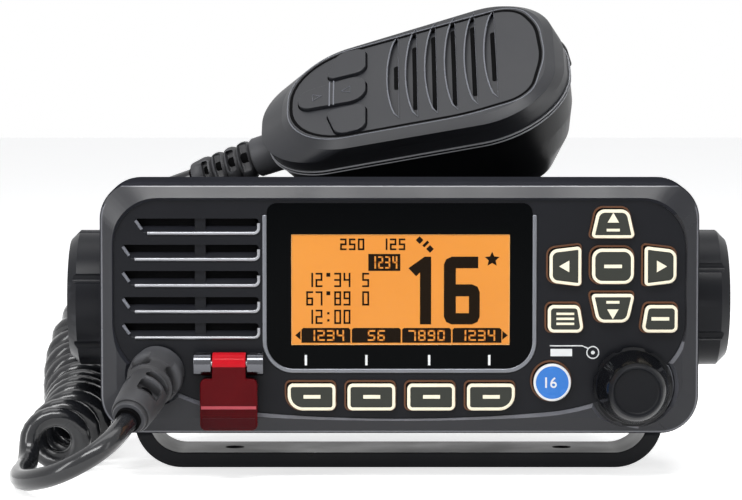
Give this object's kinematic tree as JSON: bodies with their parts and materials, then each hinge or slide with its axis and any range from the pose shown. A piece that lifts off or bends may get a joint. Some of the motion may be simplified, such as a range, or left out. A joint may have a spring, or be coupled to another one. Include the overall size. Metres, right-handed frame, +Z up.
{
  "type": "vhf marine radio",
  "caption": "Fixed-mount marine VHF radio on a tilting U-bracket, with amber display, keys, push-turn knob, hinged distress cover and a fist microphone on a curly cord.",
  "frame": {"origin": "middle of the bracket's foot, on the surface it rests on", "axes": "+Z up, +X to the right of the front panel, the front panel faces -Y"},
  "size_m": [0.1908, 0.1522, 0.1244],
  "materials": {
    "case_plastic": "fine satin moulded plastic",
    "panel_plastic": "smooth dark satin plastic",
    "window_black": "polished lens, black behind the glass",
    "trim_silver": "bright satin trim",
    "lcd_amber": "backlit amber display",
    "key_plastic": "dark keys with a backlit cream outline",
    "key_blue": "blue key with a white ring",
    "distress_red": "translucent red cover",
    "button_red": "opaque red key",
    "gloss_black": "polished black plastic",
    "bracket_plastic": "black satin plastic",
    "chassis_metal": "die-cast aluminium, black powder coat",
    "black_rubber": "soft black rubber",
    "cable_jacket": "smooth satin cable jacket",
    "mic_front": "satin charcoal plastic",
    "mic_rear": "satin black plastic",
    "strip_grey": "grey sealing strip",
    "steel": "stainless steel",
    "nickel": "nickel plated",
    "board_green": "glass-fibre circuit board",
    "mesh_black": "black cloth",
    "speaker_black": "moulded speaker frame"
  },
  "bodies": {
    "radio": {"front_case": "case_plastic", "face_panel": "panel_plastic", "speaker_mesh": "mesh_black", "speaker_driver": "speaker_black", "display_window": "window_black", "display_trim": "trim_silver", "lcd_module": "lcd_amber", "front_board": "board_green", "keypad_mat": "black_rubber", "encoder_body": "steel", "cover_posts": "gloss_black", "cover_pin": "steel", "chassis": "chassis_metal", "chassis_seal": "black_rubber", "case_screws": "steel", "main_board": "board_green", "power_module": "steel", "antenna_socket": "nickel", "power_gland": "black_rubber", "data_gland": "black_rubber", "cord_boot": "black_rubber", "cord_front_run": "cable_jacket", "cord_coil": "cable_jacket", "cord_tail": "cable_jacket"},
    "bracket": {"bracket": "bracket_plastic", "bracket_pads": "black_rubber"},
    "left_knob": {"clamp_knob_left": "bracket_plastic", "clamp_stud_left": "steel"},
    "right_knob": {"clamp_knob_right": "bracket_plastic", "clamp_stud_right": "steel"},
    "key_up": {"key_up": "key_plastic"},
    "key_down": {"key_down": "key_plastic"},
    "key_left": {"key_left": "key_plastic"},
    "key_right": {"key_right": "key_plastic"},
    "key_enter": {"key_enter": "key_plastic"},
    "key_menu": {"key_menu": "key_plastic"},
    "key_clear": {"key_clear": "key_plastic"},
    "key_channel": {"key_channel": "key_blue"},
    "soft_key_1": {"soft_key_1": "key_plastic"},
    "soft_key_2": {"soft_key_2": "key_plastic"},
    "soft_key_3": {"soft_key_3": "key_plastic"},
    "soft_key_4": {"soft_key_4": "key_plastic"},
    "distress_button": {"distress_button": "button_red"},
    "distress_cover": {"distress_cover": "distress_red"},
    "knob_shaft": {"encoder_shaft": "steel"},
    "volume_knob": {"volume_knob": "gloss_black"},
    "microphone": {"mic_front_shell": "mic_front", "mic_rear_shell": "mic_rear", "mic_seal_strip": "strip_grey", "mic_boot": "black_rubber", "mic_capsule": "steel", "mic_board": "board_green", "mic_screws": "steel", "mic_hanger_stud": "mic_rear"},
    "mic_ptt": {"mic_ptt": "mic_rear"},
    "mic_key_upper": {"mic_key_upper": "mic_front"},
    "mic_key_lower": {"mic_key_lower": "mic_front"},
    "mic_rocker": {"mic_rocker": "mic_front"}
  },
  "joints": [
    {"name": "bracket_tilt", "type": "hinge", "parent": "radio", "child": "bracket", "pos_m": [0, 0, 0.045], "axis": [1, 0, 0], "range_deg": [-11, 32]},
    {"name": "left_knob_turn", "type": "hinge", "parent": "radio", "child": "left_knob", "pos_m": [-0.08, 0, 0.045], "axis": [-1, 0, 0], "continuous": true},
    {"name": "right_knob_turn", "type": "hinge", "parent": "radio", "child": "right_knob", "pos_m": [0.08, 0, 0.045], "axis": [1, 0, 0], "continuous": true},
    {"name": "key_up_press", "type": "slide", "parent": "radio", "child": "key_up", "axis": [0, 1, 0], "range_m": [0, 0.0008], "stiffness_N_per_m": 400},
    {"name": "key_down_press", "type": "slide", "parent": "radio", "child": "key_down", "axis": [0, 1, 0], "range_m": [0, 0.0008], "stiffness_N_per_m": 400},
    {"name": "key_left_press", "type": "slide", "parent": "radio", "child": "key_left", "axis": [0, 1, 0], "range_m": [0, 0.0008], "stiffness_N_per_m": 400},
    {"name": "key_right_press", "type": "slide", "parent": "radio", "child": "key_right", "axis": [0, 1, 0], "range_m": [0, 0.0008], "stiffness_N_per_m": 400},
    {"name": "key_enter_press", "type": "slide", "parent": "radio", "child": "key_enter", "axis": [0, 1, 0], "range_m": [0, 0.0008], "stiffness_N_per_m": 400},
    {"name": "key_menu_press", "type": "slide", "parent": "radio", "child": "key_menu", "axis": [0, 1, 0], "range_m": [0, 0.0008], "stiffness_N_per_m": 400},
    {"name": "key_clear_press", "type": "slide", "parent": "radio", "child": "key_clear", "axis": [0, 1, 0], "range_m": [0, 0.0008], "stiffness_N_per_m": 400},
    {"name": "key_channel_press", "type": "slide", "parent": "radio", "child": "key_channel", "axis": [0, 1, 0], "range_m": [0, 0.0008], "stiffness_N_per_m": 400},
    {"name": "soft_key_1_press", "type": "slide", "parent": "radio", "child": "soft_key_1", "axis": [0, 1, 0], "range_m": [0, 0.0008], "stiffness_N_per_m": 400},
    {"name": "soft_key_2_press", "type": "slide", "parent": "radio", "child": "soft_key_2", "axis": [0, 1, 0], "range_m": [0, 0.0008], "stiffness_N_per_m": 400},
    {"name": "soft_key_3_press", "type": "slide", "parent": "radio", "child": "soft_key_3", "axis": [0, 1, 0], "range_m": [0, 0.0008], "stiffness_N_per_m": 400},
    {"name": "soft_key_4_press", "type": "slide", "parent": "radio", "child": "soft_key_4", "axis": [0, 1, 0], "range_m": [0, 0.0008], "stiffness_N_per_m": 400},
    {"name": "distress_press", "type": "slide", "parent": "radio", "child": "distress_button", "axis": [0, 1, 0], "range_m": [0, 0.0008], "stiffness_N_per_m": 400},
    {"name": "distress_cover_lift", "type": "hinge", "parent": "radio", "child": "distress_cover", "pos_m": [-0.044, -0.0422, 0.0311], "axis": [-1, 0, 0], "range_deg": [0, 100], "stiffness_Nm_per_rad": 0.003},
    {"name": "knob_push", "type": "slide", "parent": "radio", "child": "knob_shaft", "axis": [0, 1, 0], "range_m": [0, 0.0008], "stiffness_N_per_m": 800},
    {"name": "volume_knob_turn", "type": "hinge", "parent": "knob_shaft", "child": "volume_knob", "pos_m": [0.0604, -0.047, 0.0251], "axis": [0, 1, 0], "continuous": true},
    {"name": "mic_lift", "type": "slide", "parent": "radio", "child": "microphone", "axis": [0, 0, 1], "range_m": [0, 0.05]},
    {"name": "ptt_press", "type": "slide", "parent": "microphone", "child": "mic_ptt", "axis": [0, -0.8261, -0.5635], "range_m": [0, 0.0015], "stiffness_N_per_m": 600},
    {"name": "mic_key_upper_press", "type": "slide", "parent": "microphone", "child": "mic_key_upper", "axis": [0.279, 0.5412, -0.7933], "range_m": [0, 0.0006], "stiffness_N_per_m": 400},
    {"name": "mic_key_lower_press", "type": "slide", "parent": "microphone", "child": "mic_key_lower", "axis": [0.279, 0.5412, -0.7933], "range_m": [0, 0.0006], "stiffness_N_per_m": 400},
    {"name": "mic_rocker_tilt", "type": "hinge", "parent": "microphone", "child": "mic_rocker", "pos_m": [-0.01706, 0.03088, 0.09607], "axis": [0, 0.8261, 0.5635], "range_deg": [-3, 3], "stiffness_Nm_per_rad": 0.05}
  ]
}
